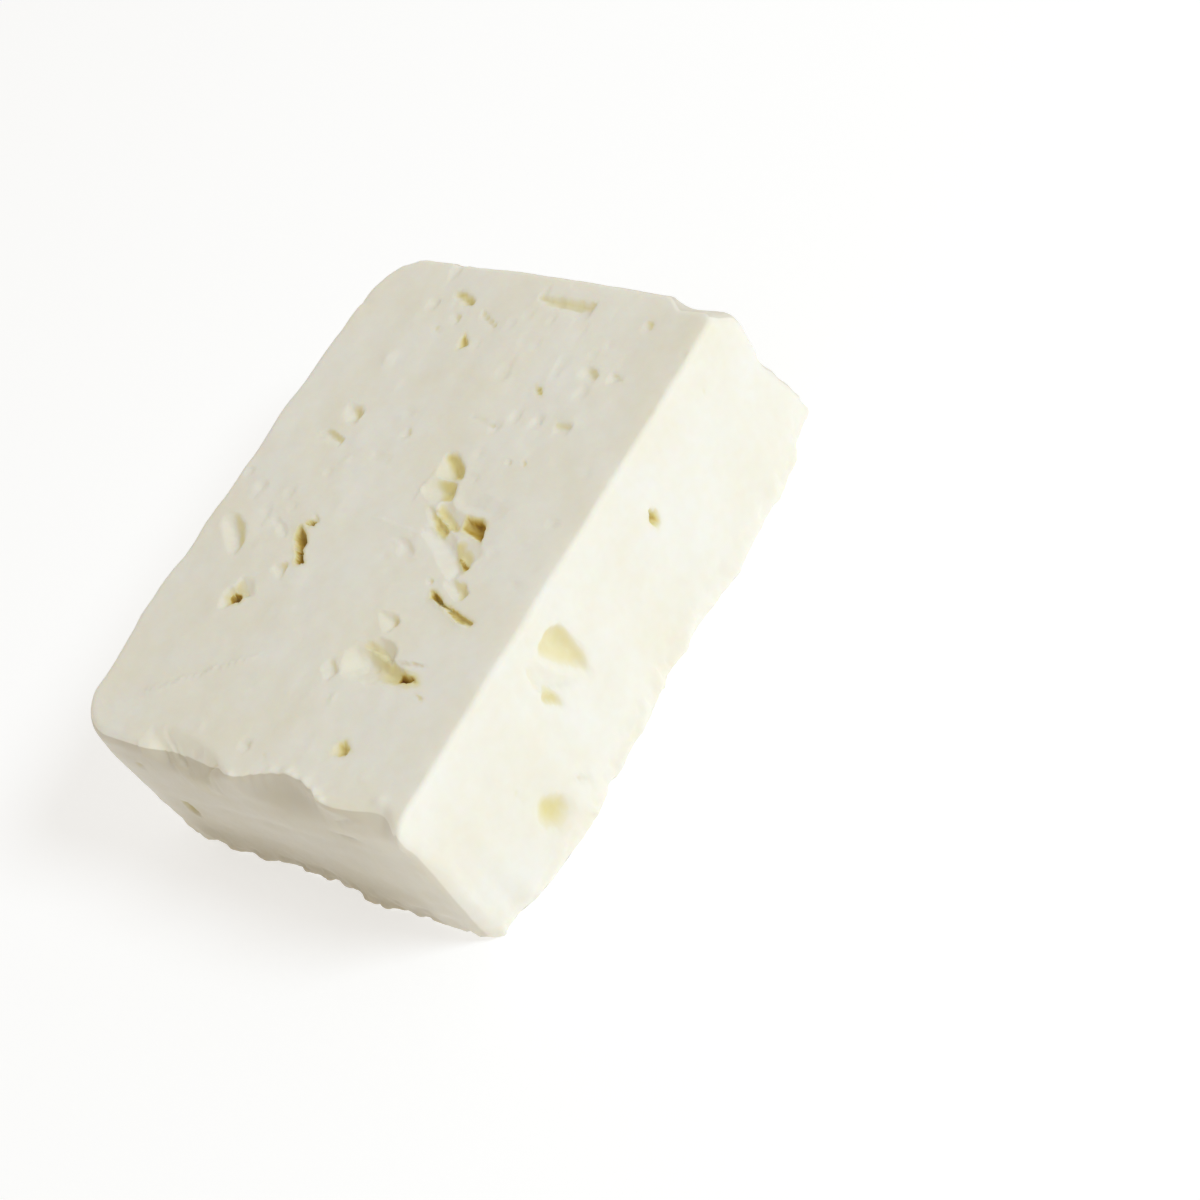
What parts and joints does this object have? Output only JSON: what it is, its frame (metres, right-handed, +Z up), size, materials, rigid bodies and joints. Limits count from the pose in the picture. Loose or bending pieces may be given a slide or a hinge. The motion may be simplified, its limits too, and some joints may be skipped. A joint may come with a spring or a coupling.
{
  "type": "queso blanco block",
  "caption": "Rectangular block of fresh white cheese, cut from a pressed slab, with curd holes, a ridged cut end and two rounded far corners.",
  "frame": {"origin": "bottom centre of the block, on the surface it lies on", "axes": "+X along the length, away from the ridged cut end; -Y is the smooth cut long side; +Z up out of the broad pitted face"},
  "size_m": [0.1246, 0.0977, 0.0367],
  "materials": {
    "fresh_white_cheese": "matte, faintly moist"
  },
  "bodies": {
    "root": {"cheese_block": "fresh_white_cheese"}
  },
  "joints": []
}
